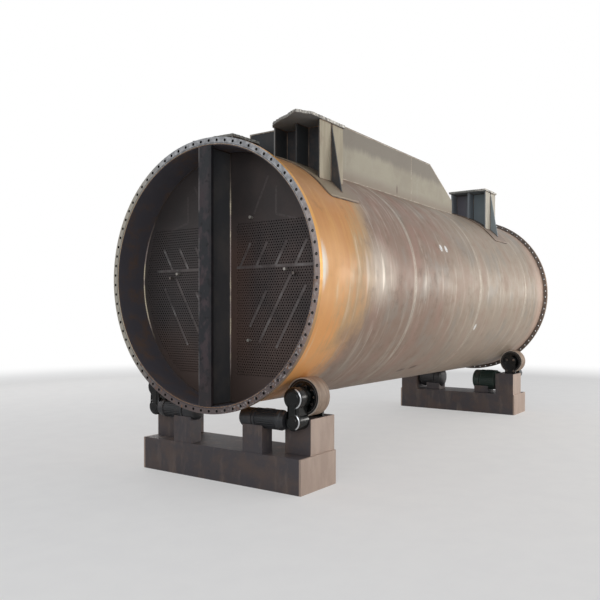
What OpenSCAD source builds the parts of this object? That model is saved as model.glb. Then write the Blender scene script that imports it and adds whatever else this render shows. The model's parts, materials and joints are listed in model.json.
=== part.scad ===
// Shell and tube condenser in the workshop, lying on its turning rolls.
// X runs along the shell, the open water box with the nearer flange is at minus X, and the floor is at zero.

/* [Shell] */
// Length over the two end flanges
total_len = 7750; // [7000:10:9500]
// Outside diameter of the shell
shell_od = 2772; // [2600:2:2860]
// Thickness of the shell plate
shell_t = 16; // [10:1:24]
// Width of one plate course
course_len = 2200; // [1800:10:2350]

/* [End flanges] */
// Width of each flange, from the shell outwards
flange_w = 64; // [58:1:90]
// Thickness of each flange
flange_t = 50; // [36:1:70]
// Distance from the shell to the circle of bolt holes
bolt_offset = 32; // [26:1:36]
// Diameter of each bolt hole
bolt_hole_d = 26; // [20:1:30]
// Number of bolt holes
bolt_count = 80; // [40:4:84]
// How far the shell ends sit back from the flange faces, for the seal weld
shell_setback = 8; // [4:1:16]

/* [Water boxes] */
// Depth of the tube sheet below the flange face
tube_sheet_depth = 400; // [300:5:600]
// Thickness of each tube sheet
tube_sheet_t = 40; // [30:1:60]
// Thickness of the upright pass partition
partition_t = 20; // [12:1:30]
// Width of the flat bar on the edge of the partition
partition_bar_w = 180; // [120:2:240]
// Thickness of that bar
partition_bar_t = 36; // [20:1:50]
// Diameter of the tie rod ends on the tube sheets
tie_rod_d = 32; // [20:1:50]
// How far the tie rod ends stand off the tube sheets
tie_rod_len = 45; // [20:1:80]

/* [Hotwell] */
// Distance from the front flange face to the front wall
hotwell_start = 1480; // [1400:5:1600]
// Distance from the front flange face to where the top begins to slope down
hotwell_slope_start = 4340; // [4000:5:4600]
// Distance from the front flange face to the end wall
hotwell_end = 5200; // [4900:5:5500]
// Distance from the front flange face to the upright joint in the side plates
hotwell_joint = 3690; // [2500:5:3900]
// Width over the side plates
hotwell_w = 1200; // [900:5:1300]
// Height of its top above the top of the shell
hotwell_rise = 514; // [360:2:620]
// Height of its low end above the top of the shell
hotwell_end_rise = 74; // [40:2:200]
// Thickness of its plates
hotwell_t = 12; // [8:1:20]

/* [Feet] */
// Distance from the front flange face to the webs of the front feet
front_foot_at = 1040; // [1000:5:1080]
// Distance from the front flange face to the webs of the rear feet
rear_foot_at = 6130; // [5900:5:6250]
// Distance from the middle plane to the inner end of a foot
foot_inner = 290; // [200:5:330]
// Distance from the middle plane to the outer edge of a base plate
foot_outer = 940; // [880:5:1000]
// Height of the base plates' outer faces above the top of the shell
foot_rise = 340; // [270:2:420]
// Thickness of a base plate
foot_plate_t = 30; // [20:1:50]
// How far a rear base plate reaches past the front of its ribs
foot_plate_overhang = 70; // [60:5:180]
// Length of the ribs on each side of a web
foot_rib_len = 230; // [180:5:260]
// Thickness of ribs and webs
foot_rib_t = 18; // [12:1:30]
// How far a rib stands back from the edge of its base plate
foot_rib_inset = 24; // [0:1:50]
// How far a web spreads past the base plate where it meets the pad
foot_web_spread = 110; // [60:5:140]
// How far the torch-cut tongue of the right front base plate reaches past the ribs
foot_tongue = 350; // [200:5:400]
// Thickness of a reinforcing pad
pad_t = 16; // [10:1:24]
// How far a pad reaches past the ends of the ribs, along the shell
pad_end_margin = 100; // [60:5:110]
// How far a pad reaches past the sides of the web, around the shell
pad_side_margin = 55; // [30:5:70]
// Corner radius of a pad
pad_corner = 70; // [30:5:120]

/* [Turning rolls] */
// Diameter of a wheel over its tyre
wheel_d = 400; // [340:5:440]
// Width of a wheel
wheel_w = 200; // [160:5:220]
// Thickness of the tyre
tyre_t = 35; // [20:1:50]
// Angle of the wheels from the lowest line of the shell
wheel_angle = 38.5; // [36:0.5:42]
// Distance from the front flange face to the middle of the front wheels
front_wheels_at = 490; // [470:5:510]
// Distance from the rear flange face to the middle of the rear wheels
rear_wheels_at = 590; // [560:5:620]
// Diameter of a wheel axle
axle_d = 80; // [60:1:110]
// Running clearance around an axle, on its radius
axle_play = 0.1; // [0.05:0.05:0.3]
// Gap between the end of an axle and the bottom of its bore in the gear case
axle_end_gap = 1; // [0.5:0.5:4]
// Height of the base beam
beam_h = 360; // [250:5:380]
// Width of the base beam along the shell
beam_w = 650; // [640:5:800]
// Height of a roll post above the base beam
post_h = 370; // [300:5:400]
// Width of a roll post across the shell
post_w = 320; // [260:5:400]
// Distance from a wheel's axis to the outer side of its post
post_overhang = 112; // [95:1:160]
// Thickness of a bearing plate
bearing_t = 30; // [20:1:50]
// Diameter of the round head of a bearing plate
bearing_head_d = 190; // [160:5:240]
// Thickness of a gear case along the shell
gear_case_t = 170; // [140:5:180]
// Diameter of the round head of a gear case, at the axle
gear_head_d = 230; // [200:5:260]
// Diameter of the round foot of a gear case, at the motor
gear_foot_d = 190; // [180:5:220]
// Gap between the shell and the inner end of a front motor
motor_clear = 18; // [8:1:40]
// Diameter of a front motor
motor_d = 210; // [160:5:220]
// Length of a front motor
motor_len = 580; // [380:5:590]
// Diameter of a rear motor
rear_motor_d = 360; // [280:5:370]
// Length of a rear motor
rear_motor_len = 490; // [380:5:520]
// Height of a rear motor's axis above the base beam
rear_motor_h = 237; // [200:1:240]
// Length of a motor pedestal along the motor
pedestal_len = 260; // [160:5:300]

/* [Hidden] */

// Clearance between a curved seat and what stands on it
seat_gap = 0.2;
// Gap between a tyre and the shell
tyre_gap = 0.3;
// Gap between a wheel and the post below it
wheel_gap = 18.55;
// Gap beside a wheel
side_gap = 20;
// Gap between a front motor and the post behind it
motor_gap = 10;
// Distance from the end of the base beam to its post
post_inset = 20;
// Distance from the free end of a motor to its pedestal
pedestal_inset = 60;
// Width of a pedestal, as a share of its motor's diameter
pedestal_share = 0.8;
// How far a wheel disc stands back from the sides of its tyre
disc_setback = 5;
// Depth of the round recess in each side of a wheel disc
disc_recess = 45;
// Wall of the hub, and of the rim, that this recess leaves
disc_wall = 25;
// How far a base plate reaches past the end of its ribs
plate_lip = 12;
// Setback of the tongue's point from the outer edge of its base plate
tongue_point = 100;
// Distance from the inner edge of a base plate to the corner of its tongue
tongue_corner = 110;
// How far a cut reaches past a face
cut = 1;

shell_r = shell_od / 2;
shell_inner_r = shell_r - shell_t;
flange_od = shell_od + 2 * flange_w;
bolt_circle = shell_od + 2 * bolt_offset;
half_len = total_len / 2;
pad_r = shell_r + pad_t + seat_gap;
foot_h = shell_r + foot_rise;
foot_plate_z = foot_h - foot_plate_t;
rib_outer_y = foot_outer - foot_rib_inset - foot_rib_t;
rib_inner_y = foot_inner + foot_rib_inset / 2;
rib_y = [rib_inner_y, (rib_inner_y + rib_outer_y) / 2, rib_outer_y];
wheel_r = wheel_d / 2;
wheel_ring = shell_r + tyre_gap + wheel_r;
post_top = beam_h + post_h;
wheel_y = wheel_ring * sin(wheel_angle);
wheel_z = post_top + wheel_gap + wheel_r;
// Height of the shell axis above the floor
axis_h = wheel_z + wheel_ring * cos(wheel_angle);
wheel_x = [front_wheels_at - half_len, half_len - rear_wheels_at];
rear_motor_z = beam_h + rear_motor_h;
// Distance from the middle of a wheel to its bearing plate, its gear case and its post
case_x = wheel_w / 2 + side_gap;
// Half the length of an axle, from the bearing plate into the gear case
axle_half = case_x + bearing_t;
// Places of the tie rod ends on a tube sheet, as distance from the middle and height from the axis
tie_rods = [[315, 640], [775, 70], [885, 25], [290, -677]];
steel = [0.56, 0.47, 0.40];
rust = [0.72, 0.48, 0.30];
dark = [0.14, 0.14, 0.16];

// Shapes drawn in a plane across the shell, pushed along X from station x0
module across(x0, length) {
    translate([x0 - half_len, 0, axis_h])
        rotate([90, 0, 90])
            linear_extrude(length)
                children();
}

// Shapes drawn in the upright plane along the shell, centred on y0
module along(y0, width) {
    translate([-half_len, y0 + width / 2, axis_h])
        rotate([90, 0, 0])
            linear_extrude(width)
                children();
}

module both_sides() {
    for (side = [0, 1])
        mirror([0, side, 0])
            children();
}

// The shell as a solid bar, cut away from what stands on it
module seat(radius) {
    across(0, total_len)
        circle(r = radius + seat_gap, $fn = 180);
}

module shell_ring(start, end) {
    color(start < course_len ? rust : steel)
        across(start, end - start)
            difference() {
                circle(r = shell_r, $fn = 180);
                circle(r = shell_inner_r, $fn = 180);
            }
}

module shell_course_1() {
    shell_ring(shell_setback, course_len);
}

module shell_course_2() {
    shell_ring(course_len, 2 * course_len);
}

module shell_course_3() {
    shell_ring(2 * course_len, 3 * course_len);
}

module shell_course_4() {
    shell_ring(3 * course_len, total_len - shell_setback);
}

module flange(start) {
    color([0.50, 0.47, 0.47])
        across(start, flange_t)
            difference() {
                circle(d = flange_od, $fn = 180);
                circle(r = shell_r + seat_gap, $fn = 180);
                for (i = [0 : bolt_count - 1])
                    rotate((i + 0.5) * 360 / bolt_count)
                        translate([0, bolt_circle / 2])
                            circle(d = bolt_hole_d, $fn = 24);
            }
}

module front_flange() {
    flange(0);
}

module rear_flange() {
    flange(total_len - flange_t);
}

module tube_sheet(start) {
    color([0.22, 0.15, 0.13])
        across(start, tube_sheet_t)
            circle(r = shell_inner_r - seat_gap, $fn = 180);
}

module front_tube_sheet() {
    tube_sheet(tube_sheet_depth);
}

module rear_tube_sheet() {
    tube_sheet(total_len - tube_sheet_depth - tube_sheet_t);
}

// An upright plate inside the shell, as wide as it is given
module upright(start, depth, width) {
    across(start, depth)
        intersection() {
            circle(r = shell_inner_r - seat_gap, $fn = 180);
            square([width, 2 * shell_r], center = true);
        }
}

partition_depth = tube_sheet_depth - partition_bar_t;

module front_partition() {
    color([0.18, 0.14, 0.14])
        upright(partition_bar_t, partition_depth, partition_t);
}

module rear_partition() {
    color([0.18, 0.14, 0.14])
        upright(total_len - tube_sheet_depth, partition_depth, partition_t);
}

module front_partition_bar() {
    color([0.30, 0.22, 0.24])
        upright(0, partition_bar_t, partition_bar_w);
}

module rear_partition_bar() {
    color([0.30, 0.22, 0.24])
        upright(total_len - partition_bar_t, partition_bar_t, partition_bar_w);
}

module tie_rod_ends(start) {
    color([0.6, 0.6, 0.58])
        for (side = [-1, 1], place = tie_rods)
            across(start, tie_rod_len)
                translate([side * place[0], place[1]])
                    circle(d = tie_rod_d, $fn = 24);
}

module front_tie_rod_ends() {
    tie_rod_ends(tube_sheet_depth - tie_rod_len);
}

module rear_tie_rod_ends() {
    tie_rod_ends(total_len - tube_sheet_depth);
}

hotwell_top = shell_r + hotwell_rise;
hotwell_end_top = shell_r + hotwell_end_rise;
hotwell_wall_top = hotwell_top - hotwell_t;
hotwell_side_y = (hotwell_w - hotwell_t) / 2;
hotwell_inside_w = hotwell_w - 2 * hotwell_t;

// Upright thickness of the sloping plate
slope_drop = hotwell_t / cos(atan((hotwell_top - hotwell_end_top) / (hotwell_end - hotwell_slope_start)));

module hotwell_front_wall() {
    color(steel)
        difference() {
            across(hotwell_start, hotwell_t)
                translate([-hotwell_inside_w / 2, 0])
                    square([hotwell_inside_w, hotwell_wall_top]);
            seat(shell_r);
        }
}

module hotwell_side_plates() {
    color(steel)
        both_sides()
            difference() {
                along(hotwell_side_y, hotwell_t)
                    translate([hotwell_start, 0])
                        square([hotwell_joint - hotwell_start, hotwell_wall_top]);
                seat(shell_r);
            }
}

module hotwell_tapered_side_plates() {
    color(steel)
        both_sides()
            difference() {
                along(hotwell_side_y, hotwell_t)
                    polygon([
                        [hotwell_joint, 0],
                        [hotwell_end, 0],
                        [hotwell_end, hotwell_end_top - slope_drop],
                        [hotwell_slope_start, hotwell_top - slope_drop],
                        [hotwell_slope_start, hotwell_wall_top],
                        [hotwell_joint, hotwell_wall_top]
                    ]);
                seat(shell_r);
            }
}

module hotwell_cover() {
    color(steel)
        along(0, hotwell_w)
            translate([hotwell_start, hotwell_wall_top])
                square([hotwell_slope_start - hotwell_start, hotwell_t]);
}

module hotwell_slope() {
    color(steel)
        along(0, hotwell_w)
            polygon([
                [hotwell_slope_start, hotwell_top - slope_drop],
                [hotwell_end, hotwell_end_top - slope_drop],
                [hotwell_end, hotwell_end_top],
                [hotwell_slope_start, hotwell_top]
            ]);
}

module hotwell_end_wall() {
    color(steel)
        difference() {
            across(hotwell_end - hotwell_t, hotwell_t)
                translate([-hotwell_inside_w / 2, 0])
                    square([hotwell_inside_w, hotwell_end_top - slope_drop]);
            seat(shell_r);
        }
}

// A rectangle with round corners, made of plain shapes
module rounded(x, y, length, width, corner) {
    translate([x + corner, y])
        square([length - 2 * corner, width]);
    translate([x, y + corner])
        square([length, width - 2 * corner]);
    for (cx = [x + corner, x + length - corner], cy = [y + corner, y + width - corner])
        translate([cx, cy])
            circle(r = corner, $fn = 32);
}

module each_foot() {
    for (at = [front_foot_at, rear_foot_at])
        both_sides()
            translate([at - half_len, 0, axis_h])
                children();
}

// Length from the middle of a web to the end of a rib
rib_reach = foot_rib_len + foot_rib_t / 2;
web_foot_y = foot_outer + foot_web_spread;
pad_inner = foot_inner - pad_side_margin;
pad_width = web_foot_y + pad_side_margin - pad_inner;
pad_len = 2 * (rib_reach + pad_end_margin);

module foot_pads() {
    color([0.60, 0.52, 0.45])
        intersection() {
            across(0, total_len)
                difference() {
                    circle(r = shell_r + pad_t, $fn = 180);
                    circle(r = shell_r + seat_gap, $fn = 180);
                }
            each_foot()
                linear_extrude(shell_od)
                    rounded(-pad_len / 2, pad_inner, pad_len, pad_width, pad_corner);
        }
}

module foot_webs() {
    color([0.62, 0.57, 0.50])
        difference() {
            each_foot()
                translate([-foot_rib_t / 2, 0, 0])
                    rotate([90, 0, 90])
                        linear_extrude(foot_rib_t)
                            polygon([
                                [foot_inner, 0],
                                [web_foot_y, 0],
                                [web_foot_y, sqrt(pad_r * pad_r - web_foot_y * web_foot_y)],
                                [rib_outer_y + foot_rib_t, foot_plate_z],
                                [foot_inner, foot_plate_z]
                            ]);
            seat(pad_r);
        }
}

module foot_ribs(x0) {
    color([0.62, 0.57, 0.50])
        difference() {
            each_foot()
                for (y = rib_y)
                    translate([x0, y, 0])
                        cube([foot_rib_len, foot_rib_t, foot_plate_z]);
            seat(pad_r);
        }
}

module foot_front_ribs() {
    foot_ribs(-foot_rib_t / 2 - foot_rib_len);
}

module foot_rear_ribs() {
    foot_ribs(foot_rib_t / 2);
}

module base_plate(at, outline) {
    color([0.60, 0.58, 0.52])
        translate([at - half_len, 0, axis_h + foot_plate_z])
            linear_extrude(foot_plate_t)
                polygon(outline);
}

// A base plate that reaches as far as it is told past the front of its ribs
module plain_base_plate(at, reach) {
    base_plate(at, [
        [rib_reach + plate_lip, foot_inner],
        [rib_reach + plate_lip, foot_outer],
        [-rib_reach - reach, foot_outer],
        [-rib_reach - reach, foot_inner]
    ]);
}

// The right one keeps its torch-cut tongue, and the left one is trimmed at its ribs
module front_base_plates() {
    plain_base_plate(front_foot_at, plate_lip);
    mirror([0, 1, 0])
        base_plate(front_foot_at, [
            [rib_reach + plate_lip, foot_inner],
            [rib_reach + plate_lip, foot_outer],
            [-rib_reach - foot_tongue / 2, foot_outer],
            [-rib_reach - foot_tongue, foot_outer - tongue_point],
            [-rib_reach - foot_tongue / 3, foot_inner + tongue_corner],
            [-rib_reach - plate_lip, foot_inner]
        ]);
}

module rear_base_plates() {
    both_sides()
        plain_base_plate(rear_foot_at, foot_plate_overhang);
}

post_outer_y = wheel_y + post_overhang;
post_inner_y = post_outer_y - post_w;
beam_len = 2 * (post_outer_y + post_inset);
// Inner end of a front motor, and its axis below the shell there
motor_end_y = wheel_y - gear_foot_d / 2;
motor_inner_y = motor_end_y - motor_len;
motor_z = axis_h - sqrt(shell_r * shell_r - motor_inner_y * motor_inner_y) - motor_clear - motor_d / 2;
motor_drop = wheel_z - motor_z;

// What stands at a row of wheels: 0 is the front row and 1 the rear row, turned end for end
module at_row(row) {
    translate([wheel_x[row], 0, 0])
        mirror([row, 0, 0])
            children();
}

module base_beam(row) {
    color([0.30, 0.20, 0.18])
        at_row(row)
            translate([-beam_w / 2, -beam_len / 2, 0])
                cube([beam_w, beam_len, beam_h]);
}

module front_base_beam() {
    base_beam(0);
}

module rear_base_beam() {
    base_beam(1);
}

// A post stands behind the gear case and under the wheel
post_x = -case_x;
post_len = beam_w / 2 - post_x;

module roll_posts(row) {
    color([0.45, 0.38, 0.33])
        at_row(row)
            both_sides()
                translate([post_x, post_inner_y, beam_h])
                    cube([post_len, post_w, post_h]);
}

module front_roll_posts() {
    roll_posts(0);
}

module rear_roll_posts() {
    roll_posts(1);
}

module axle_bore(x0, length) {
    translate([x0, wheel_y, wheel_z])
        rotate([0, 90, 0])
            cylinder(d = axle_d + 2 * axle_play, h = length, $fn = 48);
}

module bearing_plates(row) {
    color(dark)
        at_row(row)
            both_sides()
                difference() {
                    union() {
                        translate([case_x, wheel_y - bearing_head_d / 2, post_top])
                            cube([bearing_t, bearing_head_d, wheel_z - post_top]);
                        translate([case_x, wheel_y, wheel_z])
                            rotate([0, 90, 0])
                                cylinder(d = bearing_head_d, h = bearing_t, $fn = 64);
                    }
                    axle_bore(case_x - cut, bearing_t + 2 * cut);
                }
}

module front_bearing_plates() {
    bearing_plates(0);
}

module rear_bearing_plates() {
    bearing_plates(1);
}

// A gear case hangs on the front face of its post and carries the other end of the axle
module gear_cases(row) {
    color(dark)
        at_row(row)
            both_sides()
                difference() {
                    union() {
                        translate([-case_x - gear_case_t, wheel_y, wheel_z])
                            rotate([0, 90, 0])
                                cylinder(d = gear_head_d, h = gear_case_t, $fn = 64);
                        translate([-case_x - gear_case_t, wheel_y, motor_z])
                            rotate([0, 90, 0])
                                cylinder(d = gear_foot_d, h = gear_case_t, $fn = 64);
                        translate([-case_x - gear_case_t, wheel_y - gear_foot_d / 2, motor_z])
                            cube([gear_case_t, gear_foot_d, motor_drop]);
                    }
                    axle_bore(-case_x - bearing_t, bearing_t + cut);
                }
}

module front_gear_cases() {
    gear_cases(0);
}

module rear_gear_cases() {
    gear_cases(1);
}

motor_x = -case_x - motor_gap - motor_d / 2;
rear_motor_x = post_x + post_len / 2;

module motors(row, x, end_y, z, d, length) {
    color([0.12, 0.17, 0.15])
        at_row(row)
            both_sides()
                translate([x, end_y, z])
                    rotate([90, 0, 0])
                        cylinder(d = d, h = length, $fn = 64);
}

module front_motors() {
    motors(0, motor_x, motor_end_y, motor_z, motor_d, motor_len);
}

module rear_motors() {
    motors(1, rear_motor_x, post_inner_y, rear_motor_z, rear_motor_d, rear_motor_len);
}

// A pedestal stands on the beam under the inner half of its motor
module pedestals(row, x, end_y, z, d, length) {
    pedestal_w = d * pedestal_share;
    color([0.33, 0.30, 0.33])
        at_row(row)
            both_sides()
                difference() {
                    translate([x - pedestal_w / 2, end_y - length + pedestal_inset, beam_h])
                        cube([pedestal_w, pedestal_len, z - beam_h]);
                    translate([x, end_y, z])
                        rotate([90, 0, 0])
                            cylinder(r = d / 2 + seat_gap, h = length, $fn = 64);
                }
}

module front_motor_pedestals() {
    pedestals(0, motor_x, motor_end_y, motor_z, motor_d, motor_len);
}

module rear_motor_pedestals() {
    pedestals(1, rear_motor_x, post_inner_y, rear_motor_z, rear_motor_d, rear_motor_len);
}

disc_r = wheel_r - tyre_t - seat_gap;
disc_half = wheel_w / 2 - disc_setback;

// The ring cut out of a side of a wheel disc, between its rim and its hub
module recess() {
    difference() {
        cylinder(r = disc_r - disc_wall, h = 2 * disc_recess, center = true, $fn = 96);
        cylinder(r = axle_d / 2 + disc_wall, h = 2 * disc_recess, center = true, $fn = 48);
    }
}

// One wheel with its axle; side is minus one for the right and one for the left
module wheel(row, side) {
    color(dark)
        at_row(row)
            translate([0, side * wheel_y, wheel_z])
                rotate([0, 90, 0]) {
                    difference() {
                        cylinder(r = disc_r, h = 2 * disc_half, center = true, $fn = 96);
                        for (end = [-1, 1])
                            translate([0, 0, end * disc_half])
                                recess();
                    }
                    translate([0, 0, -axle_half + axle_end_gap])
                        cylinder(d = axle_d, h = 2 * axle_half - axle_end_gap, $fn = 48);
                }
}

module tyre(row, side) {
    color([0.55, 0.47, 0.42])
        at_row(row)
            translate([0, side * wheel_y, wheel_z])
                rotate([0, 90, 0])
                    difference() {
                        cylinder(r = wheel_r, h = wheel_w, center = true, $fn = 96);
                        cylinder(r = wheel_r - tyre_t, h = wheel_w + 2 * cut, center = true, $fn = 96);
                    }
}

shell_course_1();
shell_course_2();
shell_course_3();
shell_course_4();
front_flange();
rear_flange();
front_tube_sheet();
rear_tube_sheet();
front_partition();
rear_partition();
front_partition_bar();
rear_partition_bar();
front_tie_rod_ends();
rear_tie_rod_ends();
hotwell_front_wall();
hotwell_side_plates();
hotwell_tapered_side_plates();
hotwell_cover();
hotwell_slope();
hotwell_end_wall();
foot_pads();
foot_webs();
foot_front_ribs();
foot_rear_ribs();
front_base_plates();
rear_base_plates();
front_base_beam();
rear_base_beam();
front_roll_posts();
rear_roll_posts();
front_bearing_plates();
rear_bearing_plates();
front_gear_cases();
rear_gear_cases();
front_motors();
rear_motors();
front_motor_pedestals();
rear_motor_pedestals();
wheel(0, -1);  // wheel_front_right
wheel(0, 1);  // wheel_front_left
wheel(1, -1);  // wheel_rear_right
wheel(1, 1);  // wheel_rear_left
tyre(0, -1);  // tyre_front_right
tyre(0, 1);  // tyre_front_left
tyre(1, -1);  // tyre_rear_right
tyre(1, 1);  // tyre_rear_left
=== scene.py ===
import bpy
import bmesh
import json
import math
import random
from mathutils import Matrix, Vector


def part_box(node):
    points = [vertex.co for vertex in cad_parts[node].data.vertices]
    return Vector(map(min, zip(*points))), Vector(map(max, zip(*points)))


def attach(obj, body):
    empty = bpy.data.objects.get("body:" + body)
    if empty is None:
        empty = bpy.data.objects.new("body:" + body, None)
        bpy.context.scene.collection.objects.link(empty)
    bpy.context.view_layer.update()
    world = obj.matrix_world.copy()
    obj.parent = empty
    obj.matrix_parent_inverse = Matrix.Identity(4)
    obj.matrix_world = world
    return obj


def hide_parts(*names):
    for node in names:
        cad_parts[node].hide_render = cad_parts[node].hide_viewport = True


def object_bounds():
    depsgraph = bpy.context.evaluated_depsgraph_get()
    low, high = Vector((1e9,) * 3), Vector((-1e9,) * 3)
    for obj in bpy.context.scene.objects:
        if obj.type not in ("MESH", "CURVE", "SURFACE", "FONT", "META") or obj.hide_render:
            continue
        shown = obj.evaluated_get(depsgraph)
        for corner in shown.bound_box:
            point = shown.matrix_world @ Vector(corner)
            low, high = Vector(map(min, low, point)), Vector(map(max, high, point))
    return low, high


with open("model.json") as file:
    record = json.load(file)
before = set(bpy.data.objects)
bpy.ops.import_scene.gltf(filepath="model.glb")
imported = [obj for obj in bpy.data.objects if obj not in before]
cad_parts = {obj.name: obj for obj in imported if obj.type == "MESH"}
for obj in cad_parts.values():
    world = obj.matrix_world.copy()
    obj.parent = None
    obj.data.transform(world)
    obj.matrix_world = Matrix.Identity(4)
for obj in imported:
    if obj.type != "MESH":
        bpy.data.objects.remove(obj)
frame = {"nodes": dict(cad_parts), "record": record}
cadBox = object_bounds()
nodes = frame["nodes"]
box = {name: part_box(name) for name in nodes}
print("frame loaded")

# sizes shared with the solids, in metres
shellR = 1.386
shellWall = 0.016
axisZ = frame["record"]["behaviour"]["joints"][0]["pos_m"][2]
endX = cadBox[1][0]                                    # flange faces at plus and minus this


def fromFront(x):                                      # distance from the front flange face to X
    return x - endX


def surfaceZ(y, radius=shellR):
    return axisZ + math.sqrt(radius * radius - y * y)


girthSeams = (2.2, 4.4, 6.6)                           # from the front flange face
footX = {"front": fromFront(1.040), "rear": fromFront(6.130)}
wallX = box["hotwell_front_wall"][0][0]


class Wire:                                            # an output socket; sums on it add Math nodes
    def __init__(self, graph, socket):
        self.graph = graph
        self.socket = socket

    def sum(self, operation, first, second=0.0):
        return self.graph.add("ShaderNodeMath", {"operation": operation}, {0: first, 1: second})

    def __add__(self, other):
        return self.sum("ADD", self, other)

    def __radd__(self, other):
        return self.sum("ADD", other, self)

    def __sub__(self, other):
        return self.sum("SUBTRACT", self, other)

    def __rsub__(self, other):
        return self.sum("SUBTRACT", other, self)

    def __mul__(self, other):
        return self.sum("MULTIPLY", self, other)

    def __rmul__(self, other):
        return self.sum("MULTIPLY", other, self)

    def __truediv__(self, other):
        return self.sum("DIVIDE", self, other)

    def __mod__(self, other):
        return self.sum("MODULO", self, other)

    def __neg__(self):
        return self.sum("MULTIPLY", self, -1.0)

    def __gt__(self, other):
        return self.sum("GREATER_THAN", self, other)

    def __lt__(self, other):
        return self.sum("LESS_THAN", self, other)

    def size(self):
        return self.sum("ABSOLUTE", self)

    def root(self):
        return self.sum("SQRT", self)

    def atLeast(self, other):
        return self.sum("MAXIMUM", self, other)

    def floor(self):
        return self.sum("FLOOR", self)


def apart(a, b):                                       # length of the way a one way and b the other
    return (a * a + b * b).root()


def anyOf(masks):
    first, *others = masks
    for mask in others:
        first = first.atLeast(mask)
    return first


class Graph:                                           # a node tree, for a material or for geometry
    def __init__(self, tree):
        self.tree = tree

    def add(self, kind, settings=None, values=None, out=0):
        node = self.tree.nodes.new(kind)
        for name, value in (settings or {}).items():
            setattr(node, name, value)
        for name, value in (values or {}).items():
            socket = node.inputs[name]
            for one in value if isinstance(value, list) else [value]:
                if isinstance(one, Wire):
                    self.tree.links.new(one.socket, socket)
                elif isinstance(one, tuple) and socket.type == "RGBA":
                    socket.default_value = (*one, 1.0)
                else:
                    socket.default_value = one
        return Wire(self, node.outputs[out]) if node.outputs else None

    def split(self, vector):
        node = self.add("ShaderNodeSeparateXYZ", None, {0: vector}).socket.node
        return [Wire(self, socket) for socket in node.outputs]

    def join(self, x, y, z):
        return self.add("ShaderNodeCombineXYZ", None, {0: x, 1: y, 2: z})

    def noise(self, vector, scale, detail=4.0, rough=0.55, stretch=None):
        if stretch:
            vector = self.add("ShaderNodeVectorMath", {"operation": "MULTIPLY"}, {0: vector, 1: stretch})
        return self.add("ShaderNodeTexNoise", None,
                        {"Vector": vector, "Scale": scale, "Detail": detail, "Roughness": rough})

    def step(self, value, low, high):                  # 0 below low, 1 above high, smooth between
        return self.add("ShaderNodeMapRange", {"interpolation_type": "SMOOTHSTEP"},
                        {"Value": value, "From Min": low, "From Max": high})

    def fade(self, value, low, high):                  # the other way round
        return 1.0 - self.step(value, low, high)

    def mix(self, factor, first, second):
        return self.add("ShaderNodeMix", {"data_type": "RGBA"}, {0: factor, 6: first, 7: second}, out=2)

    def coats(self, base, *layers):                    # each layer: where it lies, how strong, colour
        for mask, strength, colour in layers:
            base = self.mix(mask * strength, base, colour)
        return base

    def nearLine(self, a, b, start, end, half):        # 1 within half of the line from start to end
        run = math.dist(start, end)
        da, db = (end[0] - start[0]) / run, (end[1] - start[1]) / run
        aside = ((a - start[0]) * db - (b - start[1]) * da).size()
        along = (a - start[0]) * da + (b - start[1]) * db
        return (aside < half) * (along > 0.0) * (along < run)


# paint gives colour, roughness, metal, height, bump strength and bump depth
def finish(name, paint, **fixed):
    made = bpy.data.materials.new(name)
    made.use_nodes = True
    made.node_tree.nodes.clear()
    graph = Graph(made.node_tree)
    place = graph.add("ShaderNodeTexCoord", out="Object")
    colour, rough, metal, height, strength, depth = paint(graph, place)
    values = {"Base Color": colour, "Roughness": rough, "Metallic": metal, **fixed}
    if height:
        values["Normal"] = graph.add("ShaderNodeBump", None,
                                     {"Strength": strength, "Distance": depth, "Height": height})
    shader = graph.add("ShaderNodeBsdfPrincipled", None, values)
    graph.add("ShaderNodeOutputMaterial", None, {"Surface": shader})
    made.diffuse_color = (0.5, 0.5, 0.5, 1.0)
    return made


# shell: distances are from the front flange face and up from the axis
shellLook = {
    "orange": (0.60, 0.265, 0.075), "gold": (0.72, 0.385, 0.110), "mauve": (0.275, 0.185, 0.137),
    "tan": (0.355, 0.283, 0.216), "pale": (0.54, 0.465, 0.375), "deep": (0.175, 0.112, 0.077),
    "pink": (0.345, 0.208, 0.163), "grey": (0.265, 0.230, 0.188), "ring": (0.98, 0.55, 0.17),
    "olive": (0.43, 0.315, 0.185), "inside": (0.084, 0.077, 0.088),
    "rustEnds": (0.80, 1.30), "turnsTan": (2.4, 4.6), "brightMarks": (1.33, 5.45),
    # painted highlights: place, width, height and strength of each pale glint patch
    "paintedGlints": [(0.145, 0.115, 0.27, 1.0), (1.35, 0.45, 0.50, 0.3), (1.03, 0.05, 0.30, 0.35),
               (1.20, 0.04, 0.24, 0.4), (1.38, 0.05, 0.32, 0.75), (1.56, 0.05, 0.26, 0.35)],
    "scars": [(3.00, -1.145), (3.30, -1.12)],
    "ground": [(3.141, 0.485), (3.308, 0.485), (4.501, -0.578)]}


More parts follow.
